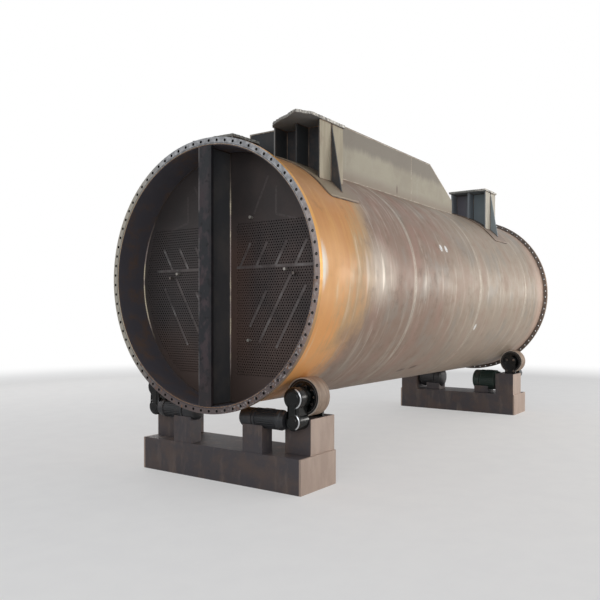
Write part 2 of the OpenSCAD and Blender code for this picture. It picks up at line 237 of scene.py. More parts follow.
def paintShell(g, place):
    look = shellLook
    x, y, z = g.split(place)
    along, up, right = x + endX, z - axisZ, y < 0.0
    streak = g.noise(place, 1.0, 5.0, 0.6, (11.0, 1.3, 1.3))       # runs round the shell
    fine = g.noise(place, 1.0, 3.0, stretch=(85.0, 4.0, 4.0))
    broad, blotch = g.noise(place, 0.9, 3.0), g.noise(place, 5.5, 6.0, 0.65)
    patch = g.noise(place, 1.8, 5.0, 0.6, (1.7, 1.0, 1.0))
    wander = along + (broad - 0.5) * 0.9 + (streak - 0.5) * 0.5 + (blotch - 0.5) * 0.5 - up * 0.30
    rust = g.fade(wander, *look["rustEnds"])
    back = g.step(along + (broad - 0.5) * 2.4, *look["turnsTan"])
    base = g.coats(
        g.mix(back, look["mauve"], look["tan"]),
        (g.step(patch, 0.50, 0.64), 0.6 - back * 0.3, look["pink"]),
        (g.fade(patch, 0.36, 0.48), 0.6, look["grey"]),
        (g.step(streak, 0.50, 0.74), 0.55, look["pale"]),
        (g.step(blotch, 0.52, 0.72), 0.55 - back * 0.3, look["deep"]))
    # painted light: the orange is made lighter at mid-height near the flange
    lit = g.fade((up - 0.05).size(), 0.15, 0.60) * g.fade(along, 0.40, 0.80)
    between = g.step(wander + (streak - 0.5) * 0.5, 0.45, 0.95) * g.fade(-up, 0.55, 1.05)
    edge = g.fade(along + (streak - 0.5) * 0.06 - up * 0.03, 0.115, 0.165)     # beside the flange
    orange = g.coats(
        g.mix(g.step(streak, 0.35, 0.75) * 0.8, look["orange"], look["gold"]),
        # the orange is darker and browner towards the top, partly its colour and partly painted shade
        (g.step(up + (broad - 0.5) * 0.8, 0.45, 1.2), 0.7, (0.43, 0.235, 0.115)),
        (g.step(blotch, 0.56, 0.76), 0.5, (0.36, 0.19, 0.085)),
        # the orange is lighter and redder towards the bottom, partly its colour and partly painted light
        (g.step(0.1 - up, 0.0, 0.9), 0.85, (0.90, 0.43, 0.145)),
        (between, 0.75, look["olive"]),
        (lit, 0.4, (1.0, 0.58, 0.26)),
        (g.step(streak, 0.58, 0.72), 0.45, (0.84, 0.64, 0.43)),
        (edge, 1.0 - g.step(0.1 - up, 0.3, 1.2) * 0.6, look["ring"]))
    paintedGlints = []                                        # painted highlights: pale glint patches on the right side
    for atX, wide, tall, pale in look["paintedGlints"]:
        away = apart((along - atX) * (1.0 / wide), (up - 0.06) * (1.0 / tall))
        paintedGlints.append(g.fade(away + (fine - 0.5) * 0.5 + (streak - 0.5) * 0.8, 0.30, 1.05) * pale)
    seams = [g.fade((along - seam).size(), 0.012, 0.055) for seam in girthSeams]     # brushed bands
    for mark in look["brightMarks"]:
        line = g.fade((along - mark + (broad - 0.5) * 0.05).size(), 0.004, 0.013)
        seams.append(line * g.step(blotch, 0.42, 0.56) * 0.8)
    spots = []                                         # ground bright on the right side
    for atX, atUp in look["ground"]:
        away = apart(along - atX, (up - atUp) * math.sqrt(0.75))
        spots.append(g.fade(away + (fine - 0.5) * 0.02, 0.030, 0.046) * right)
    spots = anyOf(spots)
    base = g.coats(
        base,
        (rust, 1.0, orange),
        # painted light: the lower shell is made paler
        (g.step(-up, 0.2, 1.1), (1.0 - rust) * 0.3, (0.44, 0.36, 0.30)),
        # painted highlights on the right side
        (anyOf(paintedGlints), right, (0.96, 0.88, 0.76)),
        # painted light: paler towards the rear flange
        (g.step(along + (broad - 0.5), 7.15, 7.55), 0.6, (0.56, 0.40, 0.32)),
        (g.step(fine, 0.60, 0.80), (1.0 - rust * 0.7) * 0.16, look["pale"]),
        (anyOf(seams), 0.5, (0.62, 0.55, 0.47)),
        (spots, 1.0, (0.95, 0.93, 0.90)))
    for atX, atUp in look["scars"]:                    # dark scrapes low on the right side
        away = apart((along - atX) * 9.0, (up - atUp) * 42.0 - (along - atX) * 5.0)
        scrape = g.fade(away + (fine - 0.5) * 1.2, 0.5, 1.1)
        base = g.mix(scrape * right * 0.75, base, (0.085, 0.060, 0.048))
    inner = apart(y, up) < shellR - shellWall / 2
    base = g.mix(inner, base, g.mix(g.step(blotch, 0.45, 0.7), look["inside"], (0.13, 0.085, 0.065)))
    rough = 0.50 + (blotch - 0.5) * 0.45 + (patch - 0.5) * 0.5 - g.step(streak, 0.5, 0.8) * 0.08
    metal = (1.0 - rust) * 0.10 + 0.06 + spots * 0.5 - inner * 0.1
    height = streak * 0.5 + fine * 0.3 + blotch * 0.5
    return base, rough - spots * 0.18 + inner * 0.2, metal.atLeast(0.0), height, 0.22, 0.004


flangeLook = {
    "holes": 80, "ring": shellR + 0.032, "steel": [(0.33, 0.335, 0.345), (0.60, 0.60, 0.61)],
    "left": (0.54, 0.49, 0.385), "right": (0.52, 0.385, 0.325), "rust": (0.30, 0.15, 0.075),
    "low": [(0.160, 0.125, 0.120), (0.300, 0.230, 0.215)], "hole": (0.012, 0.011, 0.012),
    "rim": [(0.85, 0.44, 0.12), (0.28, 0.195, 0.135)], "rear": [(0.13, 0.115, 0.10), (0.23, 0.175, 0.14)]}


def paintFlange(g, place):
    look, pitch = flangeLook, math.tau / flangeLook["holes"]
    x, y, z = g.split(place)
    up = z - axisZ
    radius = apart(y, up)
    spot, fine = g.noise(place, 16.0, 5.0, 0.65), g.noise(place, 90.0, 3.0)
    speck = g.noise(place, 34.0, 4.0, 0.6)
    low = g.step((spot - 0.5) * 0.9 - y * 0.34 - up * 0.75, 0.12, 0.75)
    part = up.sum("ARCTAN2", up, y) * (1.0 / pitch)    # counts the holes round the ring
    across = (part.sum("FRACT", part) - 0.5) * (pitch * look["ring"])
    # painted shade: the bolt holes and a narrow rim round them are made near-black
    hole = g.fade(apart(across, radius - look["ring"]), 0.0135, 0.0175)
    rim = (radius > shellR + 0.0625) * (x > 0.0015 - endX)
    behind = g.step(endX - x.size(), 0.046, 0.050) * (x < 0.0)     # the front one's face to the shell
    base = g.coats(
        g.mix(g.step(spot, 0.40, 0.66), *look["steel"]),
        (g.step(y, 0.5, 1.2), 0.75, look["left"]),
        (low, 1.0, g.mix(g.step(up, -1.0, 0.2), *look["low"])),
        (g.step(-y, 1.10, 1.36), 0.5, look["right"]),
        (low * g.step(spot, 0.55, 0.66), 0.8, look["rust"]),
        (low * g.step(speck, 0.54, 0.62) * g.step(-y, -0.3, 0.9), 0.8, (0.52, 0.48, 0.46)),
        (hole, 1.0, look["hole"]),
        (rim, g.step(-y, -0.2, 0.5), g.mix(g.step(-up, -0.2, 1.0), *look["rim"])),
        (g.fade((radius - shellR - 0.006).size(), 0.0015, 0.004), 0.7, (0.05, 0.045, 0.045)),
        (behind, 0.8, (0.62, 0.33, 0.11)),
        (x > 0.0, 0.85, g.mix(g.step(spot, 0.4, 0.7), *look["rear"])))
    return base, 0.40 + (spot - 0.5) * 0.4 + low * 0.15, 0.55 - low * 0.35, fine * 0.5 + spot, 0.25, 0.002


# tube sheets: places on one half, from the middle and up from the axis
sheetSize = {"Radius": 1.3698, "Pitch": 0.032, "Hole": 0.0168, "Thickness": 0.040, "Middle": 0.10,
             "Rim": 0.065, "Low": -1.08, "High": 0.60}
sheetLook = {
    "lanes": [((0.10, 0.104), (1.14, 0.104)),
              ((0.15, 0.12), (0.292, 0.365)), ((0.36, 0.12), (0.502, 0.365)),
              ((0.635, 0.12), (0.777, 0.365)), ((0.87, 0.12), (1.012, 0.365)),
              ((0.301, -0.531), (0.483, -0.144)), ((0.420, -0.693), (0.796, 0.027)),
              ((0.625, -0.749), (1.013, -0.096))],
    "marks": [((0.635, 0.953), (0.635, 0.653)), ((0.635, 0.653), (0.904, 0.581)),
              ((0.34, 0.679), (0.534, 1.064))],
    "laneHalf": 0.0145, "steel": [(0.064, 0.052, 0.050), (0.104, 0.076, 0.069)],
    "left": (0.078, 0.071, 0.070), "top": (0.040, 0.034, 0.033), "low": (0.125, 0.082, 0.066),
    "stain": (0.150, 0.092, 0.072), "lane": [(0.165, 0.140, 0.134), (0.42, 0.41, 0.40)]}


def onLattice(lane):                                   # lanes lie on rows of the triangular pattern
    (sx, sz), (ex, ez) = lane
    pitch, slope = sheetSize["Pitch"], math.sqrt(3.0)
    if sz == ez:
        rowZ = round(sz / (pitch * slope / 2)) * pitch * slope / 2
        return (sx, rowZ), (ex, rowZ)
    foot = (round((sx - sz / slope) / pitch - 0.5) + 0.5) * pitch
    return (foot + sz / slope, sz), (foot + ez / slope, ez)


lanes = [onLattice(lane) for lane in sheetLook["lanes"]]


def paintSheet(g, place):
    look = sheetLook
    x, y, z = g.split(place)
    side, up, left = y.size(), z - axisZ, y > 0.0
    cloud, grain = g.noise(place, 2.2, 5.0, 0.6), g.noise(place, 45.0, 4.0)
    stain = g.fade(side + (cloud - 0.5) * 0.3, 0.12, 0.40) * g.fade((up + 0.25).size(), 0.45, 0.85)
    marks = anyOf(g.nearLine(side, up, *line, 0.013) for line in look["marks"])
    clean = anyOf(g.nearLine(side, up, *line, 0.014) for line in lanes)
    shine = g.step(g.noise(place, 5.0, 2.0), 0.46, 0.62) * (left * 0.5 + 0.3)
    base = g.coats(
        g.mix(g.step(cloud, 0.35, 0.68), *look["steel"]),
        (g.step(y * 1.6 + (cloud - 0.5), 0.0, 0.7), 0.6, look["left"]),
        (g.step(up + (cloud - 0.5) * 0.4, 0.55, 0.75), 0.45, look["top"]),
        (g.step((cloud - 0.5) * 0.8 - up, 0.25, 1.1), 0.7, look["low"]),
        (stain * (y < 0.0), 0.75, look["stain"]),
        (clean, g.step(cloud + grain * 0.25, 0.42, 0.78), g.mix(shine, *look["lane"])),
        (marks * g.step(grain, 0.3, 0.6), 0.6, (0.120, 0.100, 0.096)))
    return base, 0.50 + (grain - 0.5) * 0.3, 0.25 + clean * 0.1, grain + cloud, 0.25, 0.002


partitionLook = {"bar": [(0.030, 0.031, 0.036), (0.080, 0.060, 0.066)], "red": (0.098, 0.062, 0.068),
                 "plate": [(0.110, 0.114, 0.120), (0.150, 0.142, 0.138)], "lip": (0.36, 0.34, 0.33)}


def paintPartition(g, place):
    look = partitionLook
    x, y, z = g.split(place)
    up = z - axisZ
    cloud, blot = g.noise(place, 3.0, 5.0, 0.6), g.noise(place, 11.0, 4.0, stretch=(1.0, 1.0, 0.7))
    plate = (y.size() < 0.0115) * (x.size() < endX - 0.037)        # behind the bar
    lip = g.step(y + (blot - 0.5) * 0.010, 0.074, 0.080)
    base = g.coats(
        g.mix(g.step(blot, 0.42, 0.60), *look["bar"]),
        (g.step(cloud, 0.52, 0.62), 0.7, look["red"]),
        (g.step(up + (cloud - 0.5), -0.1, 1.2), 0.5, (0.036, 0.038, 0.041)),
        (g.step(g.noise(place, 9.0, 2.0), 0.60, 0.68), 0.8, (0.016, 0.016, 0.018)),
        (g.step((blot - 0.5) * 0.05 - y, 0.035, 0.080), 0.65, (0.022, 0.022, 0.025)),
        (g.step((blot - 0.5) - up, 0.6, 1.5), 0.6, (0.058, 0.042, 0.042)),
        (plate, 1.0, g.mix(g.step(cloud, 0.4, 0.7), *look["plate"])),
        (lip * g.step(cloud, 0.44, 0.56), 0.4, look["lip"]))
    return base, 0.48 + (cloud - 0.5) * 0.3, 0.3 + blot * 0.2, blot + cloud, 0.3, 0.003


hotwellLook = {"plate": [(0.385, 0.350, 0.272), (0.325, 0.288, 0.222)], "drip": (0.42, 0.395, 0.325),
               # upper: colour of the painted shadow band on the side walls
               "upper": (0.212, 0.186, 0.155), "foot": (0.250, 0.196, 0.152), "stainAt": (3.24, 1.34),
               "stain": (0.16, 0.10, 0.085), "cover": (0.30, 0.27, 0.24), "rust": (0.20, 0.145, 0.115),
               "scuff": (0.48, 0.45, 0.40)}


def paintHotwell(g, place):
    look = hotwellLook
    x, y, z = g.split(place)
    up = z - axisZ
    drip = g.noise(place, 1.0, 5.0, 0.6, (9.0, 9.0, 0.9))          # runs down the plates
    cloud, grain = g.noise(place, 2.5, 5.0), g.noise(place, 40.0, 4.0)
    broad, scuff = g.noise(place, 1.4, 5.0, 0.6), g.noise(place, 1.0, 4.0, stretch=(2.0, 15.0, 1.0))
    stain = apart(x + endX - look["stainAt"][0], (up - look["stainAt"][1]) * math.sqrt(0.12))
    top = g.step(up, 1.893, 1.8995)
    base = g.coats(
        g.mix(g.step(cloud, 0.35, 0.7), *look["plate"]),
        (g.step(drip, 0.54, 0.76), 0.4, look["drip"]),
        # painted shadow: the darker upper band with its sloping lower edge
        (g.step(up + (drip - 0.5) * 0.16 + (cloud - 0.5) * 0.10, 1.60, 1.72), 0.8, look["upper"]),
        (g.fade(up + (cloud - 0.5) * 0.25, 1.26, 1.42), 0.7, look["foot"]),
        (g.fade(stain, 0.012, 0.03), 0.8, look["stain"]),
        (top, 0.5, look["cover"]),
        (top * g.step(broad, 0.44, 0.62), 0.65, look["rust"]),
        (top * g.step(scuff, 0.56, 0.70), 0.5, look["scuff"]))
    return base, 0.55 + (grain - 0.5) * 0.25, 0.12, grain * 0.4 + drip, 0.25, 0.003


# feet: all rib faces but the outermost carry painted shade, and the rear feet are paler, partly their own
# colour and partly painted light
footLook = {
    "rib": [(0.36, 0.310, 0.225), (0.47, 0.420, 0.310)], "ribRear": (0.56, 0.54, 0.49),
    "ribShade": [(0.042, 0.046, 0.048), (0.080, 0.068, 0.062)], "shadeRear": (0.295, 0.330, 0.365),
    "web": [(0.050, 0.053, 0.058), (0.105, 0.083, 0.073)],
    "webRear": [(0.255, 0.245, 0.290), (0.295, 0.355, 0.385)], "wall": (0.026, 0.031, 0.034),
    "pad": [(0.30, 0.225, 0.175), (0.31, 0.250, 0.170)],
    "plate": [(0.150, 0.170, 0.172), (0.215, 0.220, 0.215)], "plateUnder": (0.300, 0.325, 0.345),
    "cut": [(0.34, 0.32, 0.28), (0.80, 0.77, 0.71)], "ribShadeWithin": 0.9155}
plateUnder = box["front_base_plates"][1][2] - 0.0285


def paintRib(g, place):
    look = footLook
    x, y, z = g.split(place)
    drip = g.noise(place, 1.0, 5.0, 0.6, (12.0, 12.0, 1.6))
    cloud, grain = g.noise(place, 4.0, 5.0), g.noise(place, 60.0, 4.0)
    lip = (x < footX["front"] - 0.2385) * (y.size() < 0.5)         # front edges of the inner ribs
    shade = g.coats(
        g.mix(g.step(cloud, 0.42, 0.70), *look["ribShade"]),
        (x > 0.0, 0.85, look["shadeRear"]),
        (lip, 1.0, (0.26, 0.265, 0.255)))
    base = g.coats(
        g.mix(g.step(drip, 0.36, 0.66), *look["rib"]),
        (g.step(cloud, 0.55, 0.75), 0.6, (0.27, 0.205, 0.15)),
        (g.step(1.22 + axisZ - z + (cloud - 0.5) * 0.4, 0.0, 0.25), 0.5, (0.36, 0.27, 0.19)),
        # the rear feet paler, partly their own colour and partly painted light
        (x > 0.0, 0.5, look["ribRear"]),
        # painted shade on all but the outermost rib faces
        (y.size() < look["ribShadeWithin"], 1.0, shade))
    return base, 0.56 + (grain - 0.5) * 0.3, 0.10, grain * 0.5 + drip, 0.25, 0.002


def paintWeb(g, place):
    look = footLook
    x, y, z = g.split(place)
    cloud, grain = g.noise(place, 5.0, 5.0, 0.6), g.noise(place, 55.0, 4.0)
    # the front webs are made near-black, partly as painted shade; the rear webs are paler and bluer, partly
    # their own colour and partly painted light
    paler = g.mix(g.step(y.size() + (cloud - 0.5) * 0.2, 0.42, 0.60), *look["webRear"])
    base = g.coats(
        g.mix(g.step(cloud, 0.42, 0.70), *look["web"]),
        (x > 0.0, 0.9, paler),
        ((x > wallX - 0.02) * (x < 0.0), 0.7, look["wall"]),       # front wall of the hotwell, made darker as painted shade
        (g.step(grain, 0.62, 0.75), 0.3, (0.17, 0.12, 0.09)))
    return base, 0.52 + (grain - 0.5) * 0.25, 0.15, grain * 0.6 + cloud, 0.3, 0.002


def paintPad(g, place):
    x, y, z = g.split(place)
    cloud, grain = g.noise(place, 6.0, 5.0, 0.6), g.noise(place, 60.0, 4.0)
    base = g.coats(
        g.mix(g.fade(x + endX + (cloud - 0.5) * 0.8, 0.7, 1.5), *footLook["pad"]),
        (g.step(cloud, 0.50, 0.72), 0.5, (0.26, 0.185, 0.14)),
        (g.step(grain, 0.55, 0.75), 0.2, (0.46, 0.40, 0.33)))
    return base, 0.52 + (grain - 0.5) * 0.3, 0.18, grain * 0.5 + cloud, 0.25, 0.002


def paintBasePlate(g, place):
    x, y, z = g.split(place)
    cloud, grain = g.noise(place, 4.0, 5.0, 0.6), g.noise(place, 50.0, 4.0)
    base = g.coats(
        g.mix(g.step(cloud, 0.38, 0.68), *footLook["plate"]),
        (g.step(cloud + grain * 0.25, 0.68, 0.86), 0.7, (0.27, 0.20, 0.15)),
        (z < plateUnder, 0.8, footLook["plateUnder"]))
    return base, 0.50 + (grain - 0.5) * 0.3, 0.2, grain * 0.6 + cloud, 0.25, 0.002


def paintCut(g, place):                                # torch-cut edge, with its drag lines
    x, y, z = g.split(place)
    cloud, drag = g.noise(place, 20.0, 4.0), g.noise(place, 1.0, 3.0, stretch=(130.0, 130.0, 8.0))
    base = g.coats(
        g.mix(g.step(drag, 0.38, 0.62), *footLook["cut"]),
        (g.step(cloud, 0.50, 0.60), 0.8, (0.12, 0.11, 0.10)),
        (g.fade(y.size(), 0.70, 0.85), 0.75, (0.19, 0.20, 0.185)))
    return base, 0.42 + cloud * 0.2, 0.25, drag, 0.6, 0.003


weldLook = {"bright": [(0.36, 0.30, 0.24), (0.60, 0.54, 0.46)], "dark": (0.060, 0.045, 0.038),
            "lighterBead": [(0.42, 0.34, 0.31), (0.80, 0.70, 0.50)],
            "rusty": [(0.10, 0.072, 0.056), (0.25, 0.180, 0.130)]}


def paintWeld(g, place):
    cloud, grain = g.noise(place, 14.0, 4.0), g.noise(place, 160.0, 3.0)
    base = g.coats(
        g.mix(g.step(cloud, 0.38, 0.66), *weldLook["bright"]),
        (g.step(grain, 0.60, 0.72), 0.5, (0.33, 0.20, 0.12)))
    return base, 0.34 + cloud * 0.2, 0.55, grain, 0.4, 0.001


def paintDarkWeld(g, place):                           # in the water boxes, lighter near mid-height and along the partition and dark further up and down
    x, y, z = g.split(place)
    up = (z - axisZ).size()
    cloud, grain = g.noise(place, 5.0, 4.0), g.noise(place, 160.0, 3.0)
    clean = g.fade(up - (y.size() < 0.05) * 0.42 + (cloud - 0.5) * 0.5, 0.32, 0.75)
    bead = g.mix(g.step(g.noise(place, 1.6, 3.0, stretch=(1.0, 1.0, 2.2)), 0.45, 0.60), *weldLook["lighterBead"])
    base = g.coats(g.mix(clean, weldLook["dark"], bead), (g.step(grain, 0.60, 0.72), 0.4, (0.24, 0.15, 0.09)))
    return base, 0.36 + cloud * 0.2, 0.5, grain, 0.4, 0.001


def paintRustWeld(g, place):                           # beads that have rusted with their plates
    cloud, grain = g.noise(place, 6.0, 4.0), g.noise(place, 160.0, 3.0)
    base = g.mix(g.step(cloud, 0.40, 0.64), *weldLook["rusty"])
    return base, 0.46 + grain * 0.2, 0.3, grain, 0.4, 0.001


standLook = {"steel": [(0.080, 0.071, 0.077), (0.120, 0.088, 0.078)], "dust": (0.27, 0.205, 0.165),
             # side: colours of the painted light on the outer side faces
             "side": [(0.49, 0.37, 0.300), (0.57, 0.44, 0.360)],
             # the near-white colour on the next line is the painted highlight of the gear case rims
             "black": [(0.007, 0.008, 0.008), (0.018, 0.017, 0.016)], "paintedGlints": (0.78, 0.79, 0.80),
             "motor": (0.030, 0.031, 0.034), "greenMotor": (0.019, 0.040, 0.033)}
gearLook = {"upper": 0.115, "lower": 0.095, "waist": 0.072, "round": 0.030, "coverIn": 0.040,
            "cover": 0.006, "glintInset": 0.013, "wheelIn": 0.490, "glintFrom": 0.270}


def middleOf(name):                                    # centre of a solid's box
    low, high = box[name]
    return tuple((low[i] + high[i]) / 2 for i in range(3))


def paintStand(g, place):
    x, y, z = g.split(place)
    cloud, grain = g.noise(place, 3.5, 5.0, 0.6), g.noise(place, 48.0, 4.0)
    dust = g.noise(place, 1.0, 5.0, 0.6, (7.0, 7.0, 2.0))
    base = g.coats(
        g.mix(g.step(cloud, 0.40, 0.68), *standLook["steel"]),
        (g.step(dust, 0.50, 0.76), 0.5, standLook["dust"]),
        (g.step(grain, 0.62, 0.74), 0.4, (0.26, 0.17, 0.12)),
        # painted light: the outer side faces are lighter and tan, as lit sides
        (g.step(y.size(), 1.095, 1.100), 0.85, g.mix(g.step(dust, 0.40, 0.66), *standLook["side"])))
    return base, 0.52 + (grain - 0.5) * 0.3, 0.08, grain * 0.6 + dust, 0.3, 0.002


def paintBlack(g, place):
    cloud, grain = g.noise(place, 7.0, 5.0, 0.6), g.noise(place, 70.0, 4.0)
    base = g.coats(
        g.mix(g.step(cloud, 0.42, 0.72), *standLook["black"]),
        (g.step(cloud + grain * 0.3, 0.80, 0.94), 0.5, (0.14, 0.11, 0.095)))
    rough = 0.13 + cloud * 0.12 + g.step(grain, 0.60, 0.78) * 0.10
    return base, rough, 0.0, grain * 0.3 + cloud, 0.08, 0.002


def paintGear(g, place):                               # black enamel; half rings on the outer side of the front rims, bright and half metallic, are a painted highlight
    base, rough, metal, *relief = paintBlack(g, place)
    x, y, z = g.split(place)
    wheel, case = middleOf("tyre_front_left"), box["front_gear_cases"]
    drop = case[1][2] - case[0][2] - gearLook["upper"] - gearLook["lower"]
    # painted highlight: half rings on the outer side of each front rim
    glintRings = []
    for rise, head in ((0.0, gearLook["upper"]), (-drop, gearLook["lower"])):
        across, up = y.size() - wheel[1], z - wheel[2] - rise
        ring = g.fade((apart(across, up) - head + gearLook["glintInset"]).size(), 0.0025, 0.0075)
        glintRings.append(ring * g.step(across + (g.noise(place, 22.0, 3.0) - 0.5) * 0.06, 0.02, 0.06))
    glintRings = anyOf(glintRings) * (x.size() > endX - gearLook["wheelIn"] + gearLook["glintFrom"])
    return g.mix(glintRings, base, standLook["paintedGlints"]), rough, glintRings * 0.5, *relief


def paintMotor(g, place):                              # the right rear one is green
    x, y, z = g.split(place)
    cloud, grain = g.noise(place, 6.0, 5.0, 0.6), g.noise(place, 70.0, 4.0)
    base = g.coats(
        g.mix((x > 0.0) * (y < 0.0), standLook["motor"], standLook["greenMotor"]),
        (g.step(cloud, 0.50, 0.72), 0.6, (0.085, 0.068, 0.066)),
        (g.step(grain, 0.62, 0.76), 0.35, (0.24, 0.19, 0.16)))
    return base, 0.34 + cloud * 0.2, 0.0, grain * 0.4 + cloud, 0.2, 0.002


tyreLook = {"tread": [(0.26, 0.185, 0.138), (0.38, 0.285, 0.210)],
            "wall": [(0.022, 0.022, 0.023), (0.60, 0.52, 0.44)], "side": 0.199, "edge": 0.186, "core": 0.1685}


def paintTyre(g, place):                               # oily side walls with a worn edge
    look, wheel = tyreLook, middleOf("tyre_front_left")
    x, y, z = g.split(place)
    turn = g.noise(place, 1.0, 4.0, stretch=(40.0, 5.0, 5.0))
    cloud, grain = g.noise(place, 9.0, 5.0, 0.6), g.noise(place, 90.0, 4.0)
    radius = apart(y.size() - wheel[1], z - wheel[2])
    side = g.mix(g.step(radius, look["edge"], look["edge"] + 0.004), *look["wall"])
    side = g.mix(radius < look["core"], side, (0.16, 0.13, 0.115))
    base = g.coats(
        g.mix(g.step(turn, 0.40, 0.66), *look["tread"]),
        (g.step(cloud, 0.52, 0.74), 0.5, (0.15, 0.11, 0.09)),
        (radius < look["side"], 1.0, side))
    return base, 0.62 + (grain - 0.5) * 0.3, 0.0, grain + turn, 0.3, 0.002


def paintRod(g, place):
    x, y, z = g.split(place)
    cloud = g.noise(place, 60.0, 3.0)
    base = g.coats(
        g.mix(g.step(cloud, 0.4, 0.7), (0.56, 0.53, 0.48), (0.30, 0.26, 0.23)),
        (y.size() > 0.84, 0.8, (0.14, 0.11, 0.10)))
    return base, 0.28 + cloud * 0.15, 0.55, cloud, 0.2, 0.001


def paintBolt(g, place):
    cloud = g.noise(place, 35.0, 4.0)
    base = g.mix(g.step(cloud, 0.42, 0.68), (0.12, 0.105, 0.10), (0.34, 0.25, 0.19))
    return base, 0.36 + cloud * 0.2, 0.6, cloud, 0.3, 0.001


shellPlate = finish("shellPlate", paintShell)
flangeSteel = finish("flangeSteel", paintFlange)
tubeSheetSteel = finish("tubeSheetSteel", paintSheet)
partitionSteel = finish("partitionSteel", paintPartition)
hotwellPlate = finish("hotwellPlate", paintHotwell)
ribPlate = finish("ribPlate", paintRib)
webPlate = finish("webPlate", paintWeb)
padPlate = finish("padPlate", paintPad)
basePlate = finish("basePlate", paintBasePlate)
torchCut = finish("torchCut", paintCut)
weldMetal = finish("weldMetal", paintWeld)
darkWeld = finish("darkWeld", paintDarkWeld)
rustWeld = finish("rustWeld", paintRustWeld)
standPaint = finish("standPaint", paintStand)
blackPaint = finish("blackPaint", paintBlack, **{"Coat Weight": 0.4, "Coat Roughness": 0.08})
gearPaint = finish("gearPaint", paintGear,
                   **{"Coat Weight": 0.1, "Coat Roughness": 0.08, "Specular IOR Level": 0.35})
motorPaint = finish("motorPaint", paintMotor, **{"Coat Weight": 0.2, "Coat Roughness": 0.2})
tyreRubber = finish("tyreRubber", paintTyre)
rodEnd = finish("rodEnd", paintRod)
boltSteel = finish("boltSteel", paintBolt)
print("finishes made")

# the last one that a solid's name holds is its finish
finishOf = {"shell": shellPlate, "flange": flangeSteel, "tube_sheet": tubeSheetSteel,
            "partition": partitionSteel, "tie_rod": rodEnd, "hotwell": hotwellPlate,
            "hotwell_front_wall": webPlate, "foot_pads": padPlate, "foot_webs": webPlate, "ribs": ribPlate,
            "base_plates": basePlate, "bearing": blackPaint, "gear": gearPaint, "motors": motorPaint,
            "wheel": blackPaint, "tyre": tyreRubber}
for nodeName, node in nodes.items():
    look = standPaint
    for part, finished in finishOf.items():
        if part in nodeName:
            look = finished
    node.data.materials.clear()
    node.data.materials.append(look)
print("solids dressed")


def keep(obj, body, slotName, *replaced):              # a finished piece moves with its body
    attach(obj, body)
    if replaced:
        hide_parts(*replaced)
    return obj


def newObject(name, verts, edges=(), faces=(), material=None):
    mesh = bpy.data.meshes.new(name)
    mesh.from_pydata([tuple(v) for v in verts], list(edges), list(faces))
    obj = bpy.data.objects.new(name, mesh)
    bpy.context.scene.collection.objects.link(obj)
    if material:
        mesh.materials.append(material)
    return obj


def outward(obj):
    work = bmesh.new()
    work.from_mesh(obj.data)
    bmesh.ops.recalc_face_normals(work, faces=work.faces)
    work.to_mesh(obj.data)
    work.free()
    return obj


def bake(obj, tree, values):                           # runs a geometry tree and leaves a plain mesh
    modifier = obj.modifiers.new("shape", "NODES")
    modifier.node_group = tree
    for item in tree.interface.items_tree:
        if item.in_out == "INPUT" and item.name in values:
            modifier[item.identifier] = values[item.name]
    bpy.context.view_layer.update()
    shaped = bpy.data.meshes.new_from_object(obj.evaluated_get(bpy.context.evaluated_depsgraph_get()))
    obj.modifiers.remove(modifier)
    obj.data = shaped
    return outward(obj)


def geometryTree(name, inputs):
    tree = bpy.data.node_groups.new(name, "GeometryNodeTree")
    tree.interface.new_socket("Geometry", in_out="INPUT", socket_type="NodeSocketGeometry")
    kinds = {float: "NodeSocketFloat", int: "NodeSocketInt", tuple: "NodeSocketVector",
             str: "NodeSocketMaterial"}
    for label, value in inputs.items():
        socket = tree.interface.new_socket(label, in_out="INPUT", socket_type=kinds[type(value)])
        if not isinstance(value, str):
            socket.default_value = value
    tree.interface.new_socket("Geometry", in_out="OUTPUT", socket_type="NodeSocketGeometry")
    graph = Graph(tree)
    source = tree.nodes.new("NodeGroupInput")
    return tree, graph, {socket.name: Wire(graph, socket) for socket in source.outputs if socket.name}


def closeTree(graph, shape, material):
    shape = graph.add("GeometryNodeRealizeInstances", None, {"Geometry": shape})
    shape = graph.add("GeometryNodeSetMaterial", None, {"Geometry": shape, "Material": material})
    graph.add("NodeGroupOutput", None, {"Geometry": shape})


